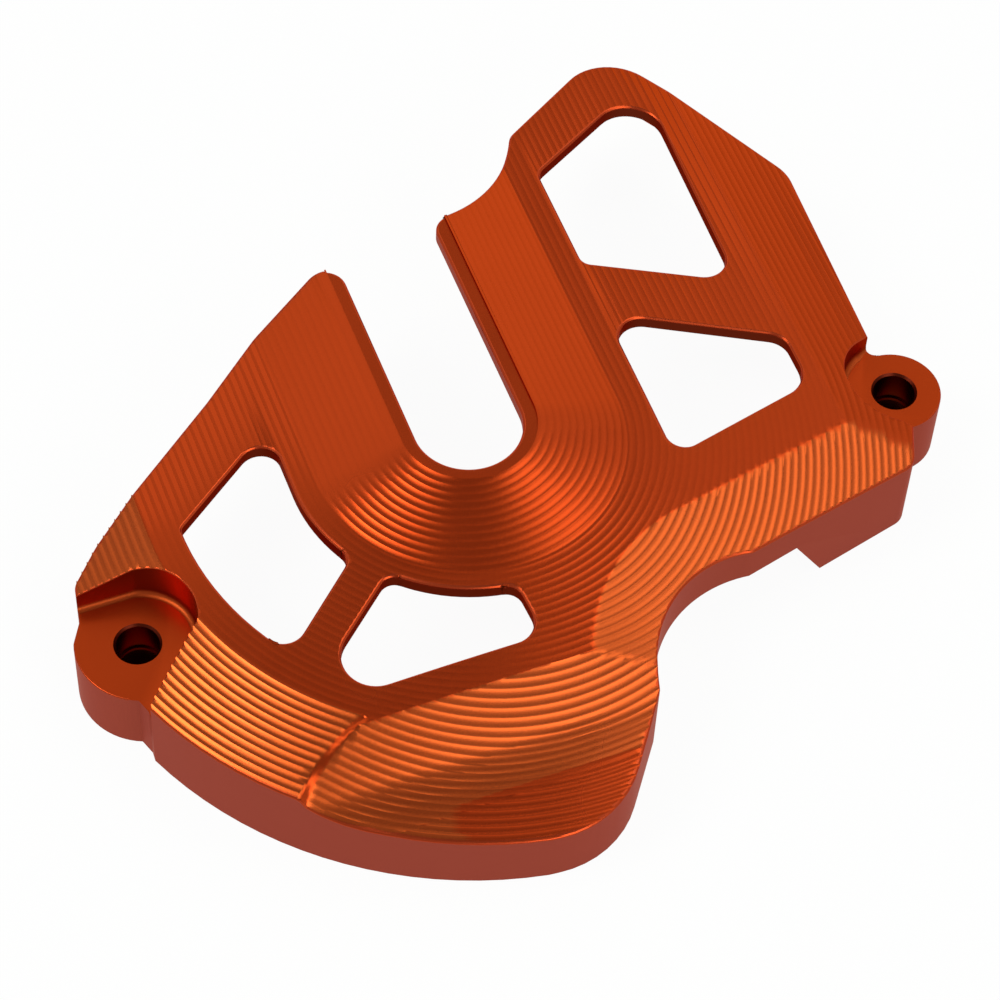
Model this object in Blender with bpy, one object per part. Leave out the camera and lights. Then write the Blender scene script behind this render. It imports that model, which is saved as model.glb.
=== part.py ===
"""Milled sprocket cover, one piece of billet.

The plate stands on its skirt and its two lug seats, with z = 0 at the mounting plane, the
origin at the centre of the slot's round end and +Y along the slot towards its open end.
The whole outer face is finished in ball-nose passes, each a fixed step further from the
slot's centreline than the last. Lengths are in metres.
"""

import math

import bmesh
import bpy
import numpy as np
from mathutils import Vector
from mathutils.geometry import delaunay_2d_cdt

# Slot for the shaft, and the narrow ledge along it
SLOT_RADIUS = 0.0084
LEDGE_WIDTH = 0.0022
LEDGE_DROP = 0.0004

# Face: a cone round the slot, a nearly flat plateau, then chamfers towards the edges
HUB_FOOT = 0.0243
HUB_SLOPE = 0.31
PLATEAU_HEIGHT = 0.02086
PLATEAU_SLOPE = 0.08
CHAMFER_SLOPE = 0.30
BAND_START = 0.0505
FACET_START = 0.0570
RAMP_SLOPE = 0.28

# Ball-nose passes
PASS_STEP = 0.00118
CUSP_HEIGHT = 0.00007
COLUMN_STEP_DEG = 4.5

# Relieved corner beside the ramp: a round that touches one line in x and one in y
RELIEF_SIDE = 0.0123
RELIEF_TOP = -0.0312
RELIEF_RADIUS = 0.0199
RAMP_WIDTH = 0.0097
RAMP_START_DEG = 103.6
RELIEF_START_DEG = 171
RELIEF_STOP_DEG = 84
RELIEF_HEIGHT = 0.0102
RELIEF_END = (0.0488, -0.0290)
RELIEF_END_LEAN = 0.55

# Scoop swept along the plateau's lower edge
SCOOP_TOP = -0.0412
SCOOP_SLOPE = 0.68
SCOOP_STRAIGHT = 0.0076
SCOOP_BEND = 0.0120
SCOOP_FLOOR_SLOPE = 0.06
STRIP_TOP = -0.0562
STRIP_SLOPE = 0.19
BAND_END_CENTRE = (-0.0227, -0.0665)
BAND_END_RADIUS = 0.0274
BAND_END_BLEND = 0.0013

# Outline: corners are (x, y) or (x, y, radius), clockwise from the slot
OUTER_RADIUS = 0.0648
OUTER_CENTRE = (0.0006, -0.0002)
OUTER_START_DEG = 203.6
OUTER_STOP_DEG = 260
HORN_TIP = (0.0374, 0.0035)
SWEEP_CENTRE = (0.0022, 0.0655)
SWEEP_RADIUS = 0.0277
SWEEP_CORNERS = (0.0030, 0.0035)
RIGHT_ARM = ((0.0492, 0.0687, 0.0087), (0.0701, 0.0375, 0.0060))
TAB_END = (0.0649, -0.0236, 0.0033)
RELIEF_CORNER = 0.0010
BOTTOM_CORNER = (0.0001, 0.0003, 0.0160)
LUG_NOTCH = (0.0011, 0.0006)
LEFT_ARM = (
    (-0.0637, -0.0062, 0.0020),
    (-0.0630, -0.0020, 0.0025),
    (-0.0582, 0.0027, 0.0100),
    (-0.0350, 0.0202, 0.0000),
    (-0.0244, 0.0290, 0.0060),
)

# Plate, skirt and the hollow behind them
PLATE = 0.0023
SKIRT = 0.0032
RIM_HEIGHT = 0.0110
RIM_START = 0.0030
HOLLOW_ARM_END = (0.0486, 0.0636, 0.0055)
HOLLOW_ARM_SIDE = (0.0666, 0.0364, 0.0030)
HOLLOW_TAB = (0.0600, -0.0214, 0.0030)
HOLLOW_BOTTOM = (0.0028, 0.0048, 0.0060)
HOLLOW_LEFT_ARM = ((-0.0085, 0.0337), (-0.0227, 0.0261), (-0.0330, 0.0175), (-0.0540, 0.0012))
BLOCK_TOP = 0.0400

# Bolt lugs
LUG_HEIGHT = 0.0115
BOLT_RADIUS = 0.0033
TAPPED_RADIUS = 0.0030
TAPPED_DEPTH = 0.0057
LEFT_BOLT = (-0.0567, -0.0128)
LEFT_LUG_CENTRE = (-0.0556, -0.0126)
LEFT_LUG_RADIUS = 0.0105
LEFT_POCKET_RADIUS = 0.0092
RIGHT_BOLT = (0.0692, -0.0075)
LEFT_POCKET_FOOT = ((-0.0580, -0.02495), (-0.0610, -0.0290))
RIGHT_LUG_RADIUS = 0.0074
RIGHT_LUG_CORNERS = (0.0014, 0.0008)
LEFT_LUG_CORNER = 0.0020
RIGHT_POCKET_CENTRE = (0.0696, -0.0073)
RIGHT_POCKET_RADIUS = 0.0087
RIGHT_POCKET_MOUTH = ((0.0695, 0.0022), (0.0850, 0.0030), (0.0850, -0.0210), (0.0690, -0.0180))
BOSS_WALL = 0.0022

# Windows: corners (x, y, radius), and for the curved ones their radii and angles
UPPER_WINDOW = (
    (0.0293, 0.0264, 0.0020),
    (0.0293, 0.0460, 0.0026),
    (0.0531, 0.0604, 0.0057),
    (0.0518, 0.0163, 0.0039),
)
MIDDLE_WINDOW = (
    (0.0290, -0.0130, 0.0029),
    (0.0290, 0.0157, 0.0040),
    (0.0545, 0.0038, 0.0036),
    (0.0545, -0.0059, 0.0051),
)
LEFT_WINDOW_TOP = (0.0124, 0.0033)
LEFT_WINDOW_INNER = (0.0279, 211.3, 0.0024)
LEFT_WINDOW_OUTER = (0.0457, 215.4, 180.3)
LEFT_WINDOW_CORNERS = (0.0033, 0.0012)
LOW_WINDOW_INNER = (0.0273, 224.1, 265.1)
LOW_WINDOW_CORNERS = (0.0023, 0.0026)
LOW_WINDOW_FOOT = ((-0.0015, -0.0363, 0.0037), (-0.0396, -0.0363, 0.0052))

MARGIN = 0.0050
MARGIN_DEG = 5
STEP = 0.00002

COLOUR = (0.42, 0.045, 0.008, 1.0)
ROUGHNESS = 0.34

LEDGE_EDGE = SLOT_RADIUS + LEDGE_WIDTH
HALF_PASS = PASS_STEP / 2
RELIEF_CENTRE = (RELIEF_SIDE + RELIEF_RADIUS, RELIEF_TOP - RELIEF_RADIUS)


def clear_scene():
    for item in list(bpy.data.objects):
        bpy.data.objects.remove(item, do_unlink=True)


def anodised():
    material = bpy.data.materials.new("anodised_aluminium")
    material.use_nodes = True
    shader = material.node_tree.nodes["Principled BSDF"]
    shader.inputs["Base Color"].default_value = COLOUR
    shader.inputs["Metallic"].default_value = 0.85
    shader.inputs["Roughness"].default_value = ROUGHNESS
    material.diffuse_color = COLOUR
    return material


def pass_distance(x, y):
    """Distance from the slot's centreline, which ends at the origin."""
    return np.where(y > 0, np.abs(x), np.hypot(x, y))


def plateau(d):
    return PLATEAU_HEIGHT - PLATEAU_SLOPE * (d - HUB_FOOT)


def hub(d):
    return PLATEAU_HEIGHT + HUB_SLOPE * (HUB_FOOT - d)


def ramp_frame():
    """Start of the ramp's straight crease, and its unit vectors along and down the ramp."""
    turn = math.radians(RAMP_START_DEG)
    reach = RELIEF_RADIUS + RAMP_WIDTH
    start = np.array(RELIEF_CENTRE) + reach * np.array((math.cos(turn), math.sin(turn)))
    down = -np.array((math.cos(turn), math.sin(turn)))
    along = np.array((-down[1], down[0]))
    return start, along, down


def ramp(x, y):
    """Chamfer above the relieved corner: round it at first, then straight to the lug."""
    start, along, down = ramp_frame()
    reach = RELIEF_RADIUS + RAMP_WIDTH
    rx = x - RELIEF_CENTRE[0]
    ry = y - RELIEF_CENTRE[1]
    radius = np.maximum(np.hypot(rx, ry), 1e-6)
    foot_x = RELIEF_CENTRE[0] + rx * reach / radius
    foot_y = RELIEF_CENTRE[1] + ry * reach / radius
    round_part = plateau(np.hypot(foot_x, foot_y)) - RAMP_SLOPE * (reach - radius)
    sx = x - start[0]
    sy = y - start[1]
    run = sx * along[0] + sy * along[1]
    drop = sx * down[0] + sy * down[1]
    line_x = start[0] + run * along[0]
    line_y = start[1] + run * along[1]
    straight_part = plateau(np.hypot(line_x, line_y)) - RAMP_SLOPE * drop
    height = np.where(run > 0, straight_part, round_part)
    return np.where((x > 0) & (y < 0), height, BLOCK_TOP)


def facet(x, y):
    """Chamfer along the right edge."""
    fold = np.full_like(x, FACET_START)
    return plateau(pass_distance(fold, y)) - CHAMFER_SLOPE * (x - FACET_START)


def band(x, y):
    """Chamfer along the left arm and the round outer edge."""
    d = pass_distance(x, y)
    height = plateau(BAND_START) - CHAMFER_SLOPE * (d - BAND_START)
    return np.where(x < 0, height, BLOCK_TOP)


def scoop_drop(t):
    """Fall of the scoop's section at distance t from its top edge."""
    steep = math.atan(SCOOP_SLOPE)
    flat = math.atan(SCOOP_FLOOR_SLOPE)
    bend = SCOOP_BEND * (math.sin(steep) - math.sin(flat))
    inside = np.clip(t - SCOOP_STRAIGHT, 0, bend)
    angle_cos = np.sqrt(1 - (math.sin(steep) - inside / SCOOP_BEND) ** 2)
    curve = SCOOP_BEND * (angle_cos - math.cos(steep))
    strip = SCOOP_TOP - STRIP_TOP
    floor = SCOOP_FLOOR_SLOPE * np.clip(t - SCOOP_STRAIGHT - bend, 0, strip)
    lip = (STRIP_SLOPE - SCOOP_FLOOR_SLOPE) * np.maximum(t - strip, 0)
    return SCOOP_SLOPE * np.minimum(t, SCOOP_STRAIGHT) + curve + floor + lip


def scoop(x, y):
    return plateau(np.hypot(x, SCOOP_TOP)) - scoop_drop(SCOOP_TOP - y)


def band_share(x, y):
    """1 where the outer band is cut, 0 past its rounded end, which the scoop takes over."""
    gap = np.hypot(x - BAND_END_CENTRE[0], y - BAND_END_CENTRE[1]) - BAND_END_RADIUS
    share = np.clip(gap / BAND_END_BLEND + 0.5, 0, 1)
    return np.where(x < BAND_END_CENTRE[0], share * share * (3 - 2 * share), 0)


def face_height(x, y):
    """Height of the finished face, without the passes."""
    d = pass_distance(x, y)
    top = np.maximum(hub(d), plateau(d))
    top = np.minimum(top, np.minimum(facet(x, y), ramp(x, y)))
    share = band_share(x, y)
    banded = np.minimum(top, band(x, y))
    scooped = np.minimum(top, scoop(x, y))
    return share * banded + (1 - share) * scooped


def pass_wave(d):
    """Hollow of one pass: 0 in its middle and the cusp's height at its two sides."""
    phase = (d - LEDGE_EDGE) / PASS_STEP
    return CUSP_HEIGHT * (2 * np.abs(phase - np.floor(phase) - 0.5)) ** 2


def milled_height(x, y):
    d = pass_distance(x, y)
    ledge = float(hub(LEDGE_EDGE)) - LEDGE_DROP
    return np.where(d < LEDGE_EDGE - STEP / 2, ledge, face_height(x, y) + pass_wave(d))


def coarse_height(x, y):
    """Face that the hollow back follows, level with the ledge round the slot."""
    ledge = float(hub(LEDGE_EDGE)) - LEDGE_DROP
    return np.minimum(face_height(x, y), ledge)


def arc(centre, radius, first_deg, last_deg, step_deg=6.0):
    count = max(1, math.ceil(abs(last_deg - first_deg) / step_deg))
    turns = [math.radians(first_deg + (last_deg - first_deg) * i / count) for i in range(count + 1)]
    return [(centre[0] + radius * math.cos(a), centre[1] + radius * math.sin(a)) for a in turns]


def rounded(corners, step_deg=15.0):
    """Closed outline through corners (x, y) or (x, y, radius), with arcs at the latter."""
    points = []
    for i, corner in enumerate(corners):
        here = Vector(corner[:2])
        if len(corner) == 2 or corner[2] <= 0:
            points.append(tuple(here))
            continue
        back = (Vector(corners[i - 1][:2]) - here).normalized()
        ahead = (Vector(corners[(i + 1) % len(corners)][:2]) - here).normalized()
        half = back.angle(ahead) / 2
        middle = here + (back + ahead).normalized() * corner[2] / math.sin(half)
        begin = here + back * corner[2] / math.tan(half) - middle
        sweep = math.pi - 2 * half
        side = 1 if back.x * ahead.y - back.y * ahead.x < 0 else -1
        count = max(2, math.ceil(math.degrees(sweep) / step_deg))
        for k in range(count + 1):
            turn = side * sweep * k / count
            swung = Vector((
                begin.x * math.cos(turn) - begin.y * math.sin(turn),
                begin.x * math.sin(turn) + begin.y * math.cos(turn),
            ))
            points.append(tuple(middle + swung))
    return points


def with_corner(points, first_radius, last_radius):
    """Points of an arc with its two ends rounded off."""
    return [(*points[0], first_radius), *points[1:-1], (*points[-1], last_radius)]


def polar(radius, turn_deg):
    turn = math.radians(turn_deg)
    return radius * math.cos(turn), radius * math.sin(turn)


def cover_outline():
    """Plan of the cover, from the slot's upper left corner round to the left arm."""
    relief = arc(RELIEF_CENTRE, RELIEF_RADIUS, RELIEF_STOP_DEG, RELIEF_START_DEG, 7)
    right_lug = arc(RIGHT_BOLT, RIGHT_LUG_RADIUS, 97, -94, 15)
    left_lug = arc(LEFT_LUG_CENTRE, LEFT_LUG_RADIUS, 248, 164, 9)
    sweep = arc(SWEEP_CENTRE, SWEEP_RADIUS, -76, -23, 7)
    bottom = (BOTTOM_CORNER[0], -OUTER_RADIUS - BOTTOM_CORNER[1], BOTTOM_CORNER[2])
    notch = polar(OUTER_RADIUS - LUG_NOTCH[0], OUTER_START_DEG - 0.9)
    return rounded([
        (-SLOT_RADIUS, *HORN_TIP),
        *arc((0, 0), SLOT_RADIUS, 180, 360, 7.5),
        (SLOT_RADIUS, sweep[0][1], SWEEP_CORNERS[0]),
        *sweep[1:-1],
        (*sweep[-1], SWEEP_CORNERS[1]),
        *RIGHT_ARM,
        *with_corner(right_lug, *RIGHT_LUG_CORNERS),
        TAB_END,
        *relief[:-1],
        (*relief[-1], RELIEF_CORNER),
        bottom,
        *arc(OUTER_CENTRE, OUTER_RADIUS, OUTER_STOP_DEG, OUTER_START_DEG, 4.5),
        (*notch, LUG_NOTCH[1]),
        *left_lug[:-1],
        (*left_lug[-1], LEFT_LUG_CORNER),
        *LEFT_ARM,
    ])


def left_window():
    radius, end_deg, corner = LEFT_WINDOW_INNER
    inner = arc((0, 0), radius, 180, end_deg, 8)
    outer = arc((0, 0), *LEFT_WINDOW_OUTER, 8)
    top = (-radius, *LEFT_WINDOW_TOP)
    return [top, *inner[:-1], (*inner[-1], corner), *with_corner(outer, *LEFT_WINDOW_CORNERS)]


def low_window():
    inner = arc((0, 0), *LOW_WINDOW_INNER, 8)
    return [*with_corner(inner, *LOW_WINDOW_CORNERS), *LOW_WINDOW_FOOT]


def window_outlines():
    """Plans of the four windows: two in the right arm, two round the hub."""
    plans = {
        "upper": UPPER_WINDOW,
        "middle": MIDDLE_WINDOW,
        "left": left_window(),
        "low": low_window(),
    }
    return {name: rounded(plan) for name, plan in plans.items()}


def cavity_outline():
    """Plan of the hollow back: inside the skirt, the lugs and the arms' rims."""
    boss = RIGHT_POCKET_RADIUS + BOSS_WALL
    relief_wall = RELIEF_RADIUS + SKIRT
    return rounded([
        *arc(LEFT_LUG_CENTRE, LEFT_LUG_RADIUS, 70, -72, 14),
        *arc(OUTER_CENTRE, OUTER_RADIUS - SKIRT, OUTER_START_DEG + 2.4, OUTER_STOP_DEG - 7, 7),
        (HOLLOW_BOTTOM[0], HOLLOW_BOTTOM[1] - OUTER_RADIUS, HOLLOW_BOTTOM[2]),
        *arc(RELIEF_CENTRE, relief_wall, RELIEF_START_DEG - 3, RELIEF_STOP_DEG, 10),
        HOLLOW_TAB,
        *arc(RIGHT_POCKET_CENTRE, boss, 228, 112, 12),
        HOLLOW_ARM_SIDE,
        HOLLOW_ARM_END,
        *arc(SWEEP_CENTRE, SWEEP_RADIUS + SKIRT, -23, -62, 8),
        (SLOT_RADIUS + MARGIN, BLOCK_TOP + MARGIN),
        (SLOT_RADIUS, BLOCK_TOP + MARGIN),
        *HOLLOW_LEFT_ARM,
    ])


def arms_outline():
    """Plan of everything beyond the lugs, where the rim stops short of the mounting plane."""
    far = 2 * OUTER_RADIUS
    return [(-far, RIM_START), (far, RIM_START), (far, far), (-far, far)]


def relief_outline(height):
    """Plan at one height of the cut that raises the skirt round the relieved corner."""
    end_x = RELIEF_END[0] - height * RELIEF_END_LEAN
    outer = arc(RELIEF_CENTRE, RELIEF_RADIUS - MARGIN, 75, RELIEF_START_DEG - MARGIN_DEG, 12)
    reach = RELIEF_RADIUS + SKIRT + MARGIN / 2
    inner = arc(RELIEF_CENTRE, reach, RELIEF_START_DEG + 1, RELIEF_STOP_DEG - 4, 12)
    return [
        *outer,
        *inner,
        (end_x, RELIEF_END[1] + MARGIN),
        (end_x, RELIEF_END[1] - MARGIN),
    ]


def left_pocket_outline():
    """Plan of the flat round the left bolt, cut down to the lug's height."""
    swing = arc(LEFT_BOLT, LEFT_POCKET_RADIUS, 76, -20, 8)
    out = LEFT_BOLT[0] - 2 * LEFT_POCKET_RADIUS
    return [(out, swing[0][1]), *swing, *LEFT_POCKET_FOOT, (out, LEFT_POCKET_FOOT[-1][1])]


def right_pocket_outline():
    """Plan of the flat round the right bolt, open to the outside."""
    swing = arc(RIGHT_POCKET_CENTRE, RIGHT_POCKET_RADIUS, 248, 112, 8)
    return [*swing, *RIGHT_POCKET_MOUTH]


def prism(name, points, low, high, upper_points=None):
    """Solid between two levels over a closed outline, which may change on the way up."""
    mesh = bmesh.new()
    lower = [mesh.verts.new((x, y, low)) for x, y in points]
    upper = [mesh.verts.new((x, y, high)) for x, y in upper_points or points]
    mesh.faces.new(lower)
    mesh.faces.new(upper)
    for i in range(len(lower)):
        mesh.faces.new([lower[i - 1], lower[i], upper[i], upper[i - 1]])
    return add_object(name, mesh)


def add_object(name, mesh):
    """Object with the closed mesh, faced outwards."""
    bmesh.ops.recalc_face_normals(mesh, faces=mesh.faces)
    if mesh.calc_volume(signed=True) < 0:
        bmesh.ops.reverse_faces(mesh, faces=mesh.faces)
    data = bpy.data.meshes.new(name)
    mesh.to_mesh(data)
    mesh.free()
    item = bpy.data.objects.new(name, data)
    bpy.context.collection.objects.link(item)
    return item


def helper(item):
    item.hide_render = True
    item.hide_set(True)
    item.display_type = "WIRE"
    return item


def pass_line(d, top, step_deg):
    """One line at a fixed distance from the slot: up the left side, round and up again."""
    return [(-d, top), *arc((0, 0), d, 180, 360, step_deg), (d, top)]


def meeting(first, second, x, low, high):
    """The y between low and high where two surfaces meet at this x."""
    for _ in range(40):
        middle = (low + high) / 2
        here = first(np.array([x]), np.array([middle])) - second(np.array([x]), np.array([middle]))
        start = first(np.array([x]), np.array([low])) - second(np.array([x]), np.array([low]))
        if (here[0] > 0) == (start[0] > 0):
            low = middle
        else:
            high = middle
    return (x, (low + high) / 2)


def crease_lines():
    """Lines in plan where the face folds and that no pass runs along."""
    start, along, _ = ramp_frame()
    reach = RELIEF_RADIUS + RAMP_WIDTH
    facet_end = (FACET_START - start[0]) / along[0]
    end = start + along * (facet_end + MARGIN)
    ramp_round = arc(RELIEF_CENTRE, reach, RAMP_START_DEG, 165, 7)
    corner_x = [FACET_START + MARGIN * share for share in (0.1, 0.6, 1.2, 1.8)]
    low_y, high_y = start[1] - MARGIN, start[1] + 3 * MARGIN
    ramp_facet = [meeting(ramp, facet, x, low_y, high_y) for x in corner_x]
    scoop_x = [MARGIN * share for share in (1.2, 1.6, 2.0, 2.4, 2.7)]
    low_y, high_y = SCOOP_TOP - 1.4 * MARGIN, SCOOP_TOP + MARGIN / 7
    scoop_ramp = [meeting(scoop, ramp, x, low_y, high_y) for x in scoop_x]
    steep = math.sin(math.atan(SCOOP_SLOPE))
    bend = SCOOP_BEND * (steep - math.sin(math.atan(SCOOP_FLOOR_SLOPE)))
    levels = [SCOOP_STRAIGHT + bend * share for share in (0, 0.5, 1)] + [SCOOP_TOP - STRIP_TOP]
    lines = [ramp_round, [tuple(start), tuple(end)], ramp_facet, scoop_ramp]
    lines.append([(-math.sqrt(OUTER_RADIUS**2 - SCOOP_TOP**2) * 0.63, SCOOP_TOP), (MARGIN, SCOOP_TOP)])
    for level in levels:
        y = SCOOP_TOP - level
        half = math.sqrt(max(OUTER_RADIUS**2 - y * y, 0))
        lines.append([(-half - MARGIN, y), (2.6 * MARGIN, y)])
    for side in (-0.5, 0.5):
        radius = BAND_END_RADIUS + side * BAND_END_BLEND
        lines.append(arc(BAND_END_CENTRE, radius, 110, 150, 5))
    fold_foot = start[1] + along[1] * facet_end
    lines.append([(FACET_START, 0.0), (FACET_START, fold_foot)])
    return lines


def surface_block(name, distances, step_deg, height, low):
    """Solid between a level base and the surface height(x, y), over rows round the slot."""
    top = max(y for _, y in cover_outline()) + MARGIN
    points = []
    edges = []
    for line in [pass_line(d, top, step_deg) for d in distances] + crease_lines():
        first = len(points)
        points += [Vector(point) for point in line]
        edges += [(first + i, first + i + 1) for i in range(len(line) - 1)]
    result = delaunay_2d_cdt(points, edges, [], 0, 1e-7)
    plan, triangles = result[0], result[2]
    x = np.array([p.x for p in plan])
    y = np.array([p.y for p in plan])
    z = height(x, y)
    inner = distances[0]
    outer = distances[-1]
    mesh = bmesh.new()
    verts = [mesh.verts.new((x[i], y[i], z[i])) for i in range(len(plan))]
    for corners in triangles:
        cx = sum(x[i] for i in corners) / len(corners)
        cy = sum(y[i] for i in corners) / len(corners)
        d = abs(cx) if cy > 0 else math.hypot(cx, cy)
        if all(pass_distance(x[i], y[i]) < inner + 1e-6 for i in corners):
            continue
        if inner * 0.98 < d < outer:
            mesh.faces.new([verts[i] for i in corners])
    bmesh.ops.recalc_face_normals(mesh, faces=mesh.faces)
    if sum(f.normal.z for f in mesh.faces) < 0:
        bmesh.ops.reverse_faces(mesh, faces=mesh.faces)
    close_down(mesh, low)
    return add_object(name, mesh)


def close_down(mesh, low):
    """Walls from the open rim of a surface down to a level base."""
    loose = [vert for vert in mesh.verts if not vert.link_faces]
    bmesh.ops.delete(mesh, geom=loose, context="VERTS")
    rim = [edge for edge in mesh.edges if edge.is_boundary]
    walls = bmesh.ops.extrude_edge_only(mesh, edges=rim)["geom"]
    lower = [item for item in walls if isinstance(item, bmesh.types.BMVert)]
    for vert in lower:
        vert.co.z = low
    base = [edge for edge in mesh.edges if edge.is_boundary]
    bmesh.ops.edgeloop_fill(mesh, edges=base)


def pass_rows():
    """Distances of the ledge, then of every cusp and every pass middle."""
    reach = RIGHT_BOLT[0] + RIGHT_LUG_RADIUS + MARGIN
    count = math.ceil((reach - LEDGE_EDGE) / HALF_PASS)
    rows = [SLOT_RADIUS - MARGIN / 5, LEDGE_EDGE - STEP]
    return rows + [LEDGE_EDGE + HALF_PASS * i for i in range(count + 1)]


def coarse_rows():
    reach = RIGHT_BOLT[0] + RIGHT_LUG_RADIUS + MARGIN
    middle = (HUB_FOOT + BAND_START) / 2
    outer = (BAND_START + reach) / 2
    return [SLOT_RADIUS - MARGIN / 5, LEDGE_EDGE, HUB_FOOT, middle, BAND_START, outer, reach]


def cut(item, tool, operation="DIFFERENCE"):
    boolean = item.modifiers.new(f"{operation.lower()}_{tool.name}", "BOOLEAN")
    boolean.operation = operation
    boolean.solver = "EXACT"
    boolean.object = tool


def hollow_back():
    """Cutter for the hollow: the face moved down by the plate's thickness, cut to its plan."""
    def inner_height(x, y):
        return coarse_height(x, y) - PLATE

    body = surface_block("hollow", coarse_rows(), 11.25, inner_height, -MARGIN)
    plan = helper(prism("hollow_plan", cavity_outline(), -2 * MARGIN, BLOCK_TOP))
    cut(body, plan, "INTERSECT")
    return helper(body)


def bolt_hole(name, centre):
    """Clearance bore above a narrower tapped length."""
    wide = prism(name, arc(centre, BOLT_RADIUS, 0, 348.75, 11.25), LUG_HEIGHT - TAPPED_DEPTH, BLOCK_TOP)
    narrow = prism(f"{name}_tapped", arc(centre, TAPPED_RADIUS, 0, 348.75, 11.25), -MARGIN, LUG_HEIGHT)
    return [helper(wide), helper(narrow)]


def sprocket_cover():
    cover = surface_block("sprocket_cover", pass_rows(), COLUMN_STEP_DEG, milled_height, 0)
    cut(cover, helper(prism("plan", cover_outline(), -MARGIN, BLOCK_TOP)), "INTERSECT")
    for name, outline in window_outlines().items():
        cut(cover, helper(prism(f"window_{name}", outline, -MARGIN, BLOCK_TOP)))
    pockets = [
        prism("left_pocket", left_pocket_outline(), LUG_HEIGHT, BLOCK_TOP),
        prism("right_pocket", right_pocket_outline(), LUG_HEIGHT, BLOCK_TOP),
    ]
    for pocket in pockets:
        cut(cover, helper(pocket))
    cut(cover, hollow_back())
    low, high = -MARGIN, RELIEF_HEIGHT
    relief = prism("skirt_relief", relief_outline(low), low, high, relief_outline(high))
    cut(cover, helper(relief))
    cut(cover, helper(prism("arms_relief", arms_outline(), low, RIM_HEIGHT)))
    for hole in bolt_hole("left_bolt", LEFT_BOLT) + bolt_hole("right_bolt", RIGHT_BOLT):
        cut(cover, hole)
    cover.data.materials.append(anodised())
    cover.data.shade_smooth()
    cover.data.set_sharp_from_angle(angle=math.radians(35))
    return cover


clear_scene()
sprocket_cover()
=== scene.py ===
"""Looks for the milled sprocket cover: one piece of anodised billet on a pale studio floor."""

import math

import bmesh
import bpy
import numpy as np
from mathutils import Matrix, Vector
from mathutils.geometry import delaunay_2d_cdt


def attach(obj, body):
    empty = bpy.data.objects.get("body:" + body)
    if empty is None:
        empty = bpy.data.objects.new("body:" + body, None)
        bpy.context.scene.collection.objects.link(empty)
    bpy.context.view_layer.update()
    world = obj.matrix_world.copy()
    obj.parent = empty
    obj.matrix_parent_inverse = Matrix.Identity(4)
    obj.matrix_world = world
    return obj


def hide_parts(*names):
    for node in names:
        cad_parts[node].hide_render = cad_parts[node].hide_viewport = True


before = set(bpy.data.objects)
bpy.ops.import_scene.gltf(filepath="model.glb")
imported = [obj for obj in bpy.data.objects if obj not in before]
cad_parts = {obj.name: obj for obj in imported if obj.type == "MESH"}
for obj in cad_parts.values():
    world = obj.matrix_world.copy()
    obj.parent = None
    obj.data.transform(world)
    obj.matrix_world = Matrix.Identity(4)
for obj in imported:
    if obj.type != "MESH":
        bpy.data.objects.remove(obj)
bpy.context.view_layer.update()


# Anodised skin
# The billet is dyed red-orange in the anodising bath after it is milled, so one skin covers
# it all. Freshly cut passes shine through it, and the flat-milled sides came out duller.
# The slopes' yellower orange is painted highlight; the dark window walls and bores are painted
# shade.

SKIN_ORANGE = (0.385, 0.040, 0.0065)
EDGE_ORANGE = (0.80, 0.36, 0.26)
COAT_ROUGHNESS = 0.35
CLOUD_SCALE = 55
GRAIN_SCALE = 5200
GRAIN_DEPTH = 0.00002
ROUGHNESS_SPREAD = 0.10


def value_socket(tree, name, way, kind="NodeSocketFloat", start=None):
    socket = tree.interface.new_socket(name=name, in_out=way, socket_type=kind)
    if start is not None:
        socket.default_value = start
    return socket


def math_node(tree, operation, *values):
    """Output of a Math node fed with numbers or with other nodes' outputs."""
    node = tree.nodes.new("ShaderNodeMath")
    node.operation = operation
    for socket, value in zip(node.inputs, values):
        if isinstance(value, (int, float)):
            socket.default_value = value
        else:
            tree.links.new(value, socket)
    return node.outputs[0]


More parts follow.
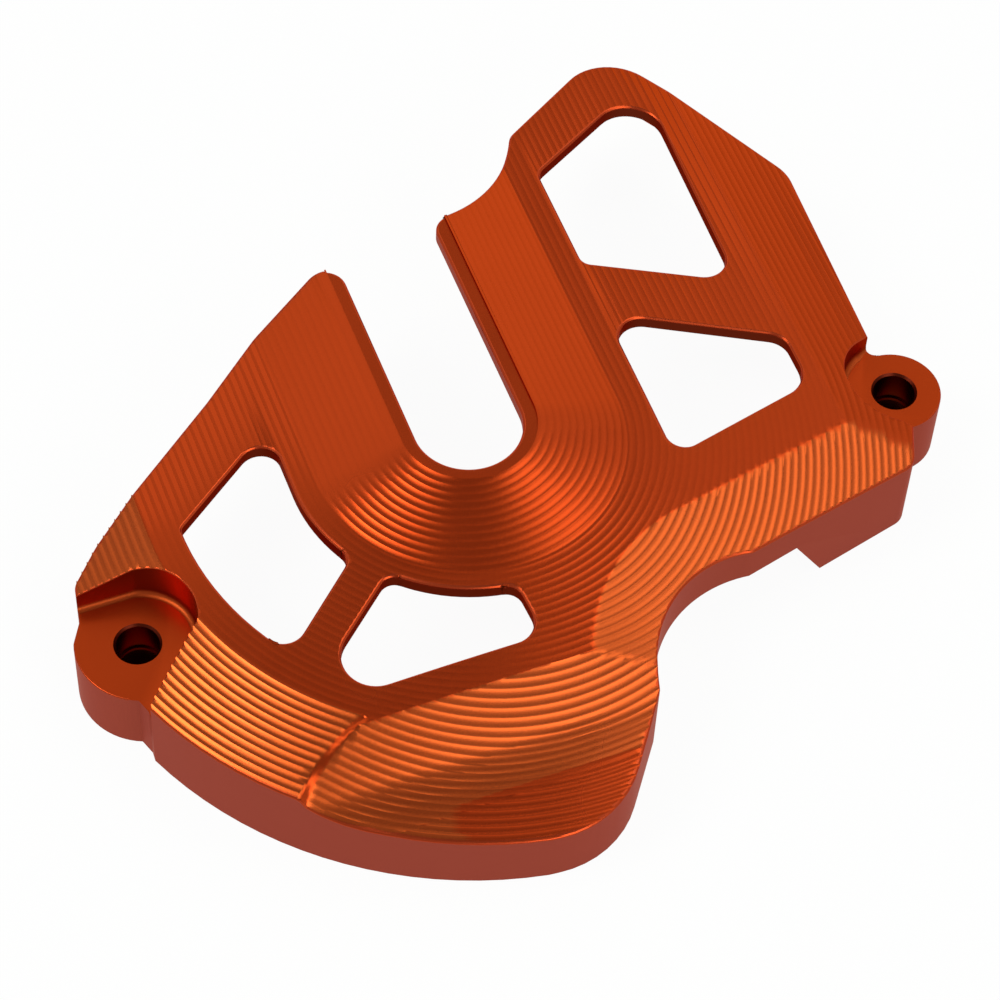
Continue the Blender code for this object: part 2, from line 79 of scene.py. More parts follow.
def dye_group():
    """Slightly uneven dye and a fine grain, the same on every surface of the billet."""
    tree = bpy.data.node_groups.new("anodised_dye", "ShaderNodeTree")
    value_socket(tree, "Colour", "INPUT", "NodeSocketColor", (1, 1, 1, 1))
    value_socket(tree, "Unevenness", "INPUT", start=0.06)
    value_socket(tree, "Grain height", "INPUT", start=0.1)
    value_socket(tree, "Roughness", "INPUT", start=0.3)
    value_socket(tree, "Colour", "OUTPUT", "NodeSocketColor")
    value_socket(tree, "Roughness", "OUTPUT")
    value_socket(tree, "Normal", "OUTPUT", "NodeSocketVector")
    nodes, link = tree.nodes, tree.links.new
    given = nodes.new("NodeGroupInput")
    made = nodes.new("NodeGroupOutput")
    place = nodes.new("ShaderNodeTexCoord")
    cloud = nodes.new("ShaderNodeTexNoise")
    cloud.inputs["Scale"].default_value = CLOUD_SCALE
    cloud.inputs["Detail"].default_value = 3
    grain = nodes.new("ShaderNodeTexNoise")
    grain.inputs["Scale"].default_value = GRAIN_SCALE
    grain.inputs["Detail"].default_value = 2
    link(place.outputs["Object"], cloud.inputs["Vector"])
    link(place.outputs["Object"], grain.inputs["Vector"])
    centred = math_node(tree, "SUBTRACT", cloud.outputs["Fac"], 0.5)
    shade = math_node(tree, "MULTIPLY_ADD", centred, given.outputs["Unevenness"], 1.0)
    rough = math_node(
        tree, "MULTIPLY_ADD", centred, ROUGHNESS_SPREAD, given.outputs["Roughness"]
    )
    tint = nodes.new("ShaderNodeVectorMath")
    tint.operation = "SCALE"
    link(given.outputs["Colour"], tint.inputs[0])
    link(shade, tint.inputs["Scale"])
    link(tint.outputs["Vector"], made.inputs["Colour"])
    link(rough, made.inputs["Roughness"])
    bump = nodes.new("ShaderNodeBump")
    bump.inputs["Distance"].default_value = GRAIN_DEPTH
    link(grain.outputs["Fac"], bump.inputs["Height"])
    link(given.outputs["Grain height"], bump.inputs["Strength"])
    link(bump.outputs["Normal"], made.inputs["Normal"])
    return tree


anodised_dye = dye_group()


def anodised(name, colour, roughness, metallic=1.0, unevenness=0.05, grain=0.05, coat=0.0):
    """Material with the shared dye; colour, shine and grain differ with how it was cut, and
    some colours hold painted highlight and painted shade.
    """
    material = bpy.data.materials.new(name)
    material.use_nodes = True
    nodes, link = material.node_tree.nodes, material.node_tree.links.new
    shader = nodes["Principled BSDF"]
    dye = nodes.new("ShaderNodeGroup")
    dye.node_tree = anodised_dye
    dye.inputs["Colour"].default_value = (*colour, 1)
    dye.inputs["Unevenness"].default_value = unevenness
    dye.inputs["Grain height"].default_value = grain
    dye.inputs["Roughness"].default_value = roughness
    link(dye.outputs["Colour"], shader.inputs["Base Color"])
    link(dye.outputs["Roughness"], shader.inputs["Roughness"])
    link(dye.outputs["Normal"], shader.inputs["Normal"])
    shader.inputs["Metallic"].default_value = metallic
    shader.inputs["Coat Weight"].default_value = coat
    shader.inputs["Coat Roughness"].default_value = COAT_ROUGHNESS
    shader.inputs["Specular Tint"].default_value = (*EDGE_ORANGE, 1)
    material.diffuse_color = (*colour, 1)
    return material


# Milled face
# The outer face is finished with a ball-nose cutter in passes that keep a fixed distance
# from the slot's centreline: up one side of the slot, round its end and up the other side.
# Between two passes a cusp is left: low on the plateau and beside the slot, higher on slopes.

# SLOPE_HIGHLIGHT_ORANGE is painted highlight: a yellower orange on the band, the ramp and the
# upper scoop, where the lamps catch those slopes.
SLOPE_HIGHLIGHT_ORANGE = (0.40, 0.064, 0.013)
SLOT_RADIUS = 0.0084
LEDGE_EDGE = 0.0106
LEDGE_DROP = 0.0004
LEDGE_WALL = 0.00002
HUB_FOOT = 0.0243
HUB_SLOPE = 0.31
PLATEAU_HEIGHT = 0.02086
PLATEAU_SLOPE = 0.08
CHAMFER_SLOPE = 0.30
BAND_START = 0.0505
FACET_START = 0.0570
RAMP_SLOPE = 0.28
RELIEF_CENTRE = (0.0322, -0.0511)
RELIEF_RADIUS = 0.0199
RAMP_REACH = RELIEF_RADIUS + 0.0097
RAMP_TURN = math.radians(103.6)
RAMP_ROUND_END_DEG = 168
RAMP_LENGTH = 0.0360
FACET_END = -0.0144
SCOOP_TOP = -0.0412
SCOOP_SLOPE = 0.68
SCOOP_STRAIGHT = 0.0076
SCOOP_BEND = 0.0120
SCOOP_FLOOR_SLOPE = 0.06
SCOOP_TOP_ENDS = (-0.0316, 0.0050)
SCOOP_ENDS = (-0.0560, 0.0130)
BEND_FOLDS = 6
STRIP_TOP = -0.0562
STRIP_SLOPE = 0.19
STRIP_ENDS = (-0.0330, 0.0110)
BAND_END_CENTRE = (-0.0227, -0.0665)
BAND_END_RADIUS = 0.0274
BAND_END_BLEND = 0.0015
BAND_END_VALLEY = 0.00010
BAND_END_TURNS = (100, 155)
SEAM_EDGE = 0.02
PASS_STEP = 0.00118
CUSP_HEIGHT = 0.00007
STRAIGHT_CUSPS = 0.25
PLATEAU_CUSPS = 0.50
CALM_CUSPS = 0.12
CALM_START = 0.010
CALM_WIDTH = 0.020
FACET_CUSPS = 0.40
CORNER_CUSPS = 1.5
LEFT_CORNER = -0.0500
STRIP_CUSPS = 2.2
SEAM_CUSPS = 0.15
SLOPE_CUSPS = 1.1
BEND_REACH = 0.0080
ROWS_PER_PASS = 8
ARC_STEP_DEG = 1.5
CHORD_SHARE = 0.995
FACE_REACH = 0.0820
ARM_REACH = 0.0740
CLEAR_HEIGHT = 0.0400
SPARE = 0.001
TOUCH = 1e-5
NUDGE = 1e-6
WELD = 1e-7

ball_milled = {"roughness": 0.26, "unevenness": 0.06, "grain": 0.15, "coat": 0.03}
face_finish = anodised("ball_milled_face", SKIN_ORANGE, **ball_milled)
# The slope copy of the face finish is a lit copy that carries the yellower painted highlight
# colour.
slope_highlight_finish = anodised("ball_milled_slope_highlight", SLOPE_HIGHLIGHT_ORANGE, **ball_milled)

ramp_down = -np.array((math.cos(RAMP_TURN), math.sin(RAMP_TURN)))
ramp_along = np.array((-ramp_down[1], ramp_down[0]))
ramp_start = np.array(RELIEF_CENTRE) - RAMP_REACH * ramp_down
scoop_steep = math.sin(math.atan(SCOOP_SLOPE))
scoop_flat = math.sin(math.atan(SCOOP_FLOOR_SLOPE))
scoop_bend_width = SCOOP_BEND * (scoop_steep - scoop_flat)


def pass_distance(x, y):
    """Distance from the slot's centreline, which ends at the origin."""
    return np.where(y > 0, np.abs(x), np.hypot(x, y))


def plateau(d):
    return PLATEAU_HEIGHT - PLATEAU_SLOPE * (d - HUB_FOOT)


def hub(d):
    return PLATEAU_HEIGHT + HUB_SLOPE * (HUB_FOOT - d)


def ramp(x, y):
    """Chamfer above the relieved corner: round it at first, then straight to the lug."""
    rx = x - RELIEF_CENTRE[0]
    ry = y - RELIEF_CENTRE[1]
    radius = np.maximum(np.hypot(rx, ry), NUDGE)
    foot_x = RELIEF_CENTRE[0] + rx * RAMP_REACH / radius
    foot_y = RELIEF_CENTRE[1] + ry * RAMP_REACH / radius
    round_part = plateau(np.hypot(foot_x, foot_y)) - RAMP_SLOPE * (RAMP_REACH - radius)
    sx = x - ramp_start[0]
    sy = y - ramp_start[1]
    run = sx * ramp_along[0] + sy * ramp_along[1]
    drop = sx * ramp_down[0] + sy * ramp_down[1]
    line_x = ramp_start[0] + run * ramp_along[0]
    line_y = ramp_start[1] + run * ramp_along[1]
    straight_part = plateau(np.hypot(line_x, line_y)) - RAMP_SLOPE * drop
    height = np.where(run > 0, straight_part, round_part)
    return np.where((x > 0) & (y < 0), height, CLEAR_HEIGHT)


def facet(x, y):
    """Chamfer along the right arm's outer side."""
    fold = np.full_like(x, FACET_START)
    return plateau(pass_distance(fold, y)) - CHAMFER_SLOPE * (x - FACET_START)


def band(x, y):
    """Chamfer along the lower left edge, at a fixed distance from the slot's end."""
    height = plateau(BAND_START) - CHAMFER_SLOPE * (pass_distance(x, y) - BAND_START)
    return np.where(x < 0, height, CLEAR_HEIGHT)


def scoop(x, y):
    """Hollow swept along the plateau's lower edge, with a flat strip below it."""
    t = SCOOP_TOP - y
    inside = np.clip(t - SCOOP_STRAIGHT, 0, scoop_bend_width)
    bend = SCOOP_BEND * (
        np.sqrt(1 - (scoop_steep - inside / SCOOP_BEND) ** 2) - math.sqrt(1 - scoop_steep**2)
    )
    strip = SCOOP_TOP - STRIP_TOP
    floor = SCOOP_FLOOR_SLOPE * np.clip(t - SCOOP_STRAIGHT - scoop_bend_width, 0, strip)
    lip = (STRIP_SLOPE - SCOOP_FLOOR_SLOPE) * np.maximum(t - strip, 0)
    drop = SCOOP_SLOPE * np.minimum(t, SCOOP_STRAIGHT) + bend + floor + lip
    return plateau(np.hypot(x, SCOOP_TOP)) - drop


def smooth(t):
    t = np.clip(t, 0, 1)
    return t * t * (3 - 2 * t)


def band_share(x, y):
    """1 on the band's side of the arc where it ends, 0 on the scoop's side."""
    gap = np.hypot(x - BAND_END_CENTRE[0], y - BAND_END_CENTRE[1]) - BAND_END_RADIUS
    return np.where(x < BAND_END_CENTRE[0], smooth(gap / BAND_END_BLEND + 0.5), 0)


def face_height(x, y):
    """Height of the face where the passes' middles touch it."""
    d = pass_distance(x, y)
    top = np.maximum(hub(d), plateau(d))
    top = np.minimum(top, np.minimum(facet(x, y), ramp(x, y)))
    share = band_share(x, y)
    valley = 4 * share * (1 - share) * BAND_END_VALLEY
    blended = share * np.minimum(top, band(x, y)) + (1 - share) * np.minimum(top, scoop(x, y))
    return np.where(blended < top - TOUCH, blended - valley, blended)


def on_seam(x, y):
    """Whether the point lies in the narrow valley where the band ends."""
    share = band_share(x, y)
    within = (share > SEAM_EDGE) & (share < 1 - SEAM_EDGE)
    return within & (y < BAND_END_CENTRE[1] + BAND_END_RADIUS)


def on_highlit_slope(x, y):
    """1 on the band, the scoop above its floor and the ramp, which fall away from the plateau,
    0 elsewhere; the yellower painted highlight colour goes where it is 1.
    """
    d = pass_distance(x, y)
    fallen = face_height(x, y) < np.minimum(plateau(d), facet(x, y)) - TOUCH
    bottom = (x > BAND_END_CENTRE[0]) & (y < SCOOP_TOP - SCOOP_STRAIGHT - scoop_bend_width)
    return np.where((d > HUB_FOOT) & fallen & ~on_seam(x, y) & ~bottom, 1.0, 0.0)


def cusp_share(x, y):
    """How high the cusps stand: low on the straight runs and the plateau, full on slopes."""
    d = pass_distance(x, y)
    level = np.abs(face_height(x, y) - plateau(d)) < TOUCH
    calm = PLATEAU_CUSPS + (CALM_CUSPS - PLATEAU_CUSPS) * smooth((x - CALM_START) / CALM_WIDTH)
    strip = (x > STRIP_ENDS[0]) & (y < STRIP_TOP)
    faced = facet(x, y) < np.minimum(plateau(d), ramp(x, y)) - TOUCH
    share = np.select(
        [on_seam(x, y), level, strip, faced],
        [SEAM_CUSPS, calm, STRIP_CUSPS, FACET_CUSPS],
        SLOPE_CUSPS,
    )
    corner = (on_highlit_slope(x, y) > 0) & (x < LEFT_CORNER)
    bent = np.maximum(smooth(-y / BEND_REACH), corner)
    return np.where(corner, CORNER_CUSPS, bent * share + (1 - bent) * STRAIGHT_CUSPS)


def arc(centre, radius, first_deg, last_deg, step_deg=3.0):
    """Points along an arc, in steps no longer than step_deg."""
    count = max(1, math.ceil(abs(last_deg - first_deg) / step_deg))
    sweep = last_deg - first_deg
    turns = [math.radians(first_deg + sweep * i / count) for i in range(count + 1)]
    return [(centre[0] + radius * math.cos(a), centre[1] + radius * math.sin(a)) for a in turns]


def pass_line(d, step_deg):
    """The cutter's path at distance d from the slot's centreline, seen from above."""
    return [(-d, ARM_REACH), *arc((0, 0), d, 180, 360, step_deg), (d, ARM_REACH)]


def fold_lines():
    """Lines in plan where the face folds and that no pass runs along."""
    ramp_end = ramp_start + ramp_along * RAMP_LENGTH
    folds = [SCOOP_STRAIGHT + scoop_bend_width * k / BEND_FOLDS for k in range(BEND_FOLDS + 1)]
    lines = [
        arc(RELIEF_CENTRE, RAMP_REACH, math.degrees(RAMP_TURN), RAMP_ROUND_END_DEG),
        [tuple(ramp_start), tuple(ramp_end)],
        [(x, SCOOP_TOP) for x in SCOOP_TOP_ENDS],
        [(FACET_START, 0.0), (FACET_START, FACET_END)],
        [(x, STRIP_TOP) for x in STRIP_ENDS],
    ]
    lines += [[(x, SCOOP_TOP - fold) for x in SCOOP_ENDS] for fold in folds]
    lines += [
        arc(BAND_END_CENTRE, BAND_END_RADIUS + side * BAND_END_BLEND, *BAND_END_TURNS)
        for side in (-0.5, -0.25, 0, 0.25, 0.5)
    ]
    return lines


def face_sheet(name, rows, step_deg, height):
    """Open sheet over rows round the slot, with each point's pass distance kept on it."""
    points = []
    edges = []
    for line in [pass_line(d, step_deg) for d in rows] + fold_lines():
        start = len(points)
        points += [Vector(point) for point in line]
        edges += [(start + i, start + i + 1) for i in range(len(line) - 1)]
    result = delaunay_2d_cdt(points, edges, [], 0, WELD)
    plan = np.array([(p.x, p.y) for p in result[0]])
    x, y = plan.T
    d = pass_distance(x, y)
    corners = np.array(result[2])
    middle = pass_distance(x[corners].mean(1), y[corners].mean(1))
    inside = (middle > rows[0] * CHORD_SHARE) & (middle < rows[-1])
    inside &= ~np.all(d[corners] < rows[0] + NUDGE, axis=1)
    corners = corners[inside]
    first, second, third = (plan[corners[:, k]] for k in range(3))
    turned = np.cross(second - first, third - first)
    corners[turned < 0] = corners[turned < 0][:, ::-1]
    used = np.unique(corners)
    place = np.zeros(len(x), int)
    place[used] = np.arange(len(used))
    mesh = bpy.data.meshes.new(name)
    spots = np.stack([x, y, height(x, y)], 1)
    mesh.from_pydata(spots[used].tolist(), [], place[corners].tolist())
    for label, values in (
        ("pass_distance", d),
        ("cusp_share", cusp_share(x, y)),
        ("slope_highlight_share", on_highlit_slope(x, y)),
    ):
        kept = mesh.attributes.new(label, "FLOAT", "POINT")
        kept.data.foreach_set("value", values[used].astype(np.float32))
    sheet = bpy.data.objects.new(name, mesh)
    bpy.context.collection.objects.link(sheet)
    return sheet


def ball_nose_tree():
    """Geometry Nodes: sinks each pass into the sheet and leaves the cusps between passes."""
    tree = bpy.data.node_groups.new("ball_nose_passes", "GeometryNodeTree")
    value_socket(tree, "Face", "INPUT", "NodeSocketGeometry")
    value_socket(tree, "First pass edge", "INPUT", start=LEDGE_EDGE)
    value_socket(tree, "Pass step", "INPUT", start=PASS_STEP)
    value_socket(tree, "Cusp height", "INPUT", start=CUSP_HEIGHT)
    value_socket(tree, "Finish", "INPUT", "NodeSocketMaterial")
    value_socket(tree, "Slope highlight finish", "INPUT", "NodeSocketMaterial")
    value_socket(tree, "Face", "OUTPUT", "NodeSocketGeometry")
    nodes, link = tree.nodes, tree.links.new
    given = nodes.new("NodeGroupInput")
    made = nodes.new("NodeGroupOutput")

    def worked(operation, *values):
        return math_node(tree, operation, *values)

    def kept_value(label):
        node = nodes.new("GeometryNodeInputNamedAttribute")
        node.data_type = "FLOAT"
        node.inputs["Name"].default_value = label
        return node.outputs["Attribute"]

    out = worked("SUBTRACT", kept_value("pass_distance"), given.outputs["First pass edge"])
    phase = worked("FRACT", worked("DIVIDE", out, given.outputs["Pass step"]))
    across = worked("MULTIPLY", worked("SUBTRACT", phase, 0.5), 2)
    cusp = worked("MULTIPLY", kept_value("cusp_share"), given.outputs["Cusp height"])
    rise = worked("MULTIPLY", worked("MULTIPLY", across, across), cusp)
    milled = worked("GREATER_THAN", out, -NUDGE)
    lift = nodes.new("ShaderNodeCombineXYZ")
    link(worked("MULTIPLY", rise, milled), lift.inputs["Z"])
    move = nodes.new("GeometryNodeSetPosition")
    link(given.outputs["Face"], move.inputs["Geometry"])
    link(lift.outputs["Vector"], move.inputs["Offset"])
    real = nodes.new("GeometryNodeRealizeInstances")
    link(move.outputs["Geometry"], real.inputs["Geometry"])
    finish = nodes.new("GeometryNodeSetMaterial")
    link(real.outputs["Geometry"], finish.inputs["Geometry"])
    link(given.outputs["Finish"], finish.inputs["Material"])
    # Where the slope highlight share is set, the faces get the copy with the painted highlight
    # colour.
    slopes = nodes.new("GeometryNodeSetMaterial")
    link(finish.outputs["Geometry"], slopes.inputs["Geometry"])
    link(worked("GREATER_THAN", kept_value("slope_highlight_share"), 0.5), slopes.inputs["Selection"])
    link(given.outputs["Slope highlight finish"], slopes.inputs["Material"])
    link(slopes.outputs["Geometry"], made.inputs["Face"])
    return tree


def made_plain(item):
    """Turns the object's modifiers into plain mesh."""
    graph = bpy.context.evaluated_depsgraph_get()
    mesh = bpy.data.meshes.new_from_object(item.evaluated_get(graph))
    item.modifiers.clear()
    item.data = mesh


def closed_down(sheet, low):
    """Gives the sheet walls from its rim down to a level base."""
    mesh = bmesh.new()
    mesh.from_mesh(sheet.data)
    rim = [edge for edge in mesh.edges if edge.is_boundary]
    walls = bmesh.ops.extrude_edge_only(mesh, edges=rim)["geom"]
    for item in walls:
        if isinstance(item, bmesh.types.BMVert):
            item.co.z = low
    base = [edge for edge in mesh.edges if edge.is_boundary]
    bmesh.ops.edgeloop_fill(mesh, edges=base)
    bmesh.ops.recalc_face_normals(mesh, faces=mesh.faces)
    if mesh.calc_volume(signed=True) < 0:
        bmesh.ops.reverse_faces(mesh, faces=mesh.faces)
    mesh.to_mesh(sheet.data)
    mesh.free()


row_count = math.ceil((FACE_REACH - LEDGE_EDGE) / PASS_STEP) * ROWS_PER_PASS
face_rows = [SLOT_RADIUS - SPARE, LEDGE_EDGE - LEDGE_WALL]
face_rows += [LEDGE_EDGE + PASS_STEP * i / ROWS_PER_PASS for i in range(row_count + 1)]
ledge_height = float(hub(LEDGE_EDGE)) - LEDGE_DROP


def ledged_height(x, y):
    """Height of the face, with the narrow level ledge along the slot."""
    return np.where(pass_distance(x, y) < LEDGE_EDGE - TOUCH, ledge_height, face_height(x, y))


cover = face_sheet("milled_cover", face_rows, ARC_STEP_DEG, ledged_height)
passes = cover.modifiers.new("ball_nose_passes", "NODES")
passes.node_group = ball_nose_tree()
pass_finishes = {"Finish": face_finish, "Slope highlight finish": slope_highlight_finish}
for socket in passes.node_group.interface.items_tree:
    if socket.name in pass_finishes:
        passes[socket.identifier] = pass_finishes[socket.name]
made_plain(cover)
closed_down(cover, -SPARE)

# Profiled blank
# The plan is sawn and profiled from plate: the outline with its horn and lugs, the slot and
# the four windows. Their rims are deburred by hand to a small bright round.

SIDE_ORANGE = (0.31, 0.052, 0.030)
# WALL_SHADE_ORANGE is painted shade: the window walls are much darker than the outer sides of
# the same dyed metal.
WALL_SHADE_ORANGE = (0.12, 0.018, 0.008)
OUTER_CENTRE = (0.0006, -0.0002)
OUTER_RADIUS = 0.0648
RIM_ROUND = 0.00040
RIM_SECTION = ((-1.6, 0.25), (-0.62, -0.14), (-0.14, -0.62), (0.25, -1.6), (0.9, 0.25))
RIBBON_STEP = 0.0006
SWEEP_CENTRE = (0.0022, 0.0655)
SWEEP_RADIUS = 0.0277
LEFT_LUG_CENTRE = (-0.0556, -0.0126)
LEFT_LUG_RADIUS = 0.0105
RIGHT_BOLT = (0.0692, -0.0075)
RIGHT_LUG_RADIUS = 0.0074

side_finish = anodised("flat_milled_side", SIDE_ORANGE, 0.50, metallic=0.65, grain=0.10)
# The window walls' finish is a shaded copy that carries the painted shade colour.
window_shade_finish = anodised("window_wall_shade", WALL_SHADE_ORANGE, 0.50, grain=0.10)
rim_finish = anodised(
    "deburred_rim", SKIN_ORANGE, 0.26, unevenness=0.03, grain=0.02, coat=0.15
)
back_finish = anodised(
    "pocketed_back", SKIN_ORANGE, 0.42, metallic=0.9, unevenness=0.06, grain=0.10, coat=0.05
)


def rounded(corners, step_deg=7.5):
    """Closed outline through corners (x, y) or (x, y, radius), with arcs at the latter."""
    points = []
    for i, corner in enumerate(corners):
        here = Vector(corner[:2])
        if len(corner) == 2 or corner[2] <= 0:
            points.append(tuple(here))
            continue
        back = (Vector(corners[i - 1][:2]) - here).normalized()
        ahead = (Vector(corners[(i + 1) % len(corners)][:2]) - here).normalized()
        half = back.angle(ahead) / 2
        middle = here + (back + ahead).normalized() * corner[2] / math.sin(half)
        begin = here + back * corner[2] / math.tan(half) - middle
        sweep = math.pi - 2 * half
        side = 1 if back.x * ahead.y - back.y * ahead.x < 0 else -1
        count = max(2, math.ceil(math.degrees(sweep) / step_deg))
        for k in range(count + 1):
            turn = side * sweep * k / count
            swung = Vector((
                begin.x * math.cos(turn) - begin.y * math.sin(turn),
                begin.x * math.sin(turn) + begin.y * math.cos(turn),
            ))
            points.append(tuple(middle + swung))
    return points


def with_corner(points, first_radius, last_radius):
    """Points of an arc with its two ends rounded off."""
    return [(*points[0], first_radius), *points[1:-1], (*points[-1], last_radius)]


def cover_outline():
    """Plan of the cover, from the slot's upper left corner round to the left arm."""
    relief = arc(RELIEF_CENTRE, RELIEF_RADIUS, 84, 171)
    right_lug = arc(RIGHT_BOLT, RIGHT_LUG_RADIUS, 97, -94, 6)
    left_lug = arc(LEFT_LUG_CENTRE, LEFT_LUG_RADIUS, 248, 164, 5)
    sweep = arc(SWEEP_CENTRE, SWEEP_RADIUS, -76, -23)
    return rounded([
        (-SLOT_RADIUS, 0.0374, 0.0035),
        *arc((0, 0), SLOT_RADIUS, 180, 360),
        (SLOT_RADIUS, sweep[0][1], 0.0030),
        *sweep[1:-1],
        (*sweep[-1], 0.0035),
        (0.0492, 0.0687, 0.0087),
        (0.0701, 0.0375, 0.0060),
        *with_corner(right_lug, 0.0014, 0.0008),
        (0.0649, -0.0236, 0.0033),
        *relief[:-1],
        (*relief[-1], 0.0010),
        (0.0001, -0.0651, 0.0160),
        *arc(OUTER_CENTRE, OUTER_RADIUS, 260, 203.6),
        (-0.0587, -0.0247, 0.0006),
        *left_lug[:-1],
        (*left_lug[-1], 0.0020),
        (-0.0637, -0.0062, 0.0020),
        (-0.0630, -0.0020, 0.0025),
        (-0.0582, 0.0027, 0.0100),
        (-0.0350, 0.0202),
        (-0.0244, 0.0290, 0.0060),
    ])


def window_outlines():
    """The two windows in the right arm, and the two that curve round the hub."""
    inner_left = arc((0, 0), 0.0279, 180, 211.3)
    outer_left = arc((0, 0), 0.0457, 215.4, 180.3)
    inner_low = arc((0, 0), 0.0273, 224.1, 265.1)
    return {
        "upper": rounded([
            (0.0293, 0.0264, 0.0020),
            (0.0293, 0.0460, 0.0026),
            (0.0531, 0.0604, 0.0057),
            (0.0518, 0.0163, 0.0039),
        ]),
        "middle": rounded([
            (0.0290, -0.0130, 0.0029),
            (0.0290, 0.0157, 0.0040),
            (0.0545, 0.0038, 0.0036),
            (0.0545, -0.0059, 0.0051),
        ]),
        "left": rounded([
            (-0.0279, 0.0124, 0.0033),
            *inner_left[:-1],
            (*inner_left[-1], 0.0024),
            *with_corner(outer_left, 0.0033, 0.0012),
        ]),
        "low": rounded([
            *with_corner(inner_low, 0.0023, 0.0026),
            (-0.0015, -0.0363, 0.0037),
            (-0.0396, -0.0363, 0.0052),
        ]),
    }


def finished(name, mesh, *finishes):
    """Object with the closed mesh, faced outwards, and its finishes."""
    bmesh.ops.recalc_face_normals(mesh, faces=mesh.faces)
    if mesh.calc_volume(signed=True) < 0:
        bmesh.ops.reverse_faces(mesh, faces=mesh.faces)
    data = bpy.data.meshes.new(name)
    mesh.to_mesh(data)
    mesh.free()
    for finish in finishes:
        data.materials.append(finish)
    item = bpy.data.objects.new(name, data)
    bpy.context.collection.objects.link(item)
    return item


def turning(points):
    """1 for an outline that runs anticlockwise, -1 for one that runs clockwise."""
    area = sum(points[i - 1][0] * y - x * points[i - 1][1] for i, (x, y) in enumerate(points))
    return 1 if area > 0 else -1


def loft(name, rings, side, base=None):
    """Solid through closed rings (points, height) of equal length, its ends finished apart."""
    mesh = bmesh.new()
    made = [[mesh.verts.new((x, y, height)) for x, y in points] for points, height in rings]
    ends = [mesh.faces.new(made[0]), mesh.faces.new(made[-1])]
    for lower, upper in zip(made, made[1:]):
        for i in range(len(lower)):
            mesh.faces.new([lower[i - 1], lower[i], upper[i], upper[i - 1]])
    for end in ends:
        end.material_index = 1
    return finished(name, mesh, side, base or side)


def prism(name, points, low, high, side, base=None):
    return loft(name, [(points, low), (points, high)], side, base)


def milled_height(x, y):
    return float(ledged_height(np.array([x]), np.array([y]))[0])


def evenly(points, closed):
    """The points with more between them, so that none is far from the next."""
    ends = points[1:] + points[:1] if closed else points[1:]
    result = []
    for (x, y), (next_x, next_y) in zip(points, ends):
        length = math.hypot(next_x - x, next_y - y)
        if length < TOUCH:
            continue
        count = max(1, math.ceil(length / RIBBON_STEP))
        result += [
            (x + (next_x - x) * k / count, y + (next_y - y) * k / count) for k in range(count)
        ]
    return result if closed else result + [points[-1]]


def rim_ribbon(name, points, side, size, height=milled_height, closed=True):
    """Ribbon along a path that rounds the rim off; side is 1 where metal is on its left."""
    path = [Vector(point) for point in evenly(points, closed)]
    count = len(path)
    mesh = bmesh.new()
    rings = []
    for i, here in enumerate(path):
        ahead = path[(i + 1) % count] - here if closed or i + 1 < count else here - path[i - 1]
        back = here - path[i - 1] if closed or i > 0 else ahead
        way = (ahead.normalized() + back.normalized()).normalized()
        away = Vector((way.y, -way.x)) * side
        level = height(here.x, here.y)
        rings.append([
            mesh.verts.new((*(here + away * out * size), level + rise * size))
            for out, rise in RIM_SECTION
        ])
    for i in range(0 if closed else 1, count):
        before, after = rings[i - 1], rings[i]
        for k in range(len(RIM_SECTION)):
            mesh.faces.new([before[k], after[k], after[k - 1], before[k - 1]])
    if not closed:
        mesh.faces.new(rings[0])
        mesh.faces.new(rings[-1])
    return finished(name, mesh, rim_finish)


def cut(item, tool, operation="DIFFERENCE"):
    """Cuts at once, takes the tool's finishes along, and puts the tool away."""
    boolean = item.modifiers.new(tool.name, "BOOLEAN")
    boolean.operation = operation
    boolean.solver = "MANIFOLD"
    boolean.material_mode = "TRANSFER"
    boolean.object = tool
    made_plain(item)
    bpy.data.objects.remove(tool, do_unlink=True)


outline = cover_outline()
blank = prism("blank", outline, 0, CLEAR_HEIGHT, side_finish, back_finish)
for name, window in window_outlines().items():
    cut(blank, prism(name, window, -SPARE, CLEAR_HEIGHT + SPARE, window_shade_finish))
    cut(blank, rim_ribbon(f"{name}_rim", window, -turning(window), RIM_ROUND))
cut(blank, rim_ribbon("outline_rim", outline, turning(outline), RIM_ROUND))

# Lugs
# Each end lug is spot-faced flat for a screw head, well below the face, and drilled and then
# threaded smaller from halfway down. The pocket walls are the end mill's own round.

POCKET_ORANGE = (0.27, 0.038, 0.008)
# BORE_SHADE_ORANGE is painted shade: the drilled bores are nearly black inside, for the shade
# down the holes.
BORE_SHADE_ORANGE = (0.07, 0.009, 0.004)
LUG_HEIGHT = 0.0115
LEFT_BOLT = (-0.0567, -0.0128)
BOLT_RADIUS = 0.0033
TAPPED_RADIUS = 0.0030
TAPPED_DEPTH = 0.0057
LEFT_POCKET_RADIUS = 0.0092
RIGHT_POCKET_CENTRE = (0.0696, -0.0073)
RIGHT_POCKET_RADIUS = 0.0087
BORE_CHAMFER = 0.00035
THREAD_PITCH = 0.0008
THREAD_DEPTH = 0.00035
POCKET_ROUND = 0.0010
POCKET_ROUND_STEPS = 6
POCKET_RIM = 0.00016

pocket_finish = anodised("pocket_wall", POCKET_ORANGE, 0.40)
lug_finish = anodised("spot_faced_lug", SKIN_ORANGE, 0.34)
# The bores' finish carries the painted shade colour.
bore_shade_finish = anodised("drilled_bore_shade", BORE_SHADE_ORANGE, 0.35)


def lug_level(x, y):
    return LUG_HEIGHT


def left_pocket_outline(inset=0.0):
    swing = arc(LEFT_BOLT, LEFT_POCKET_RADIUS - inset, 76, -20)
    out = LEFT_BOLT[0] - 2 * LEFT_POCKET_RADIUS
    return [(out, swing[0][1]), *swing, (-0.0580, -0.02495), (-0.0610, -0.0290), (out, -0.0290)]


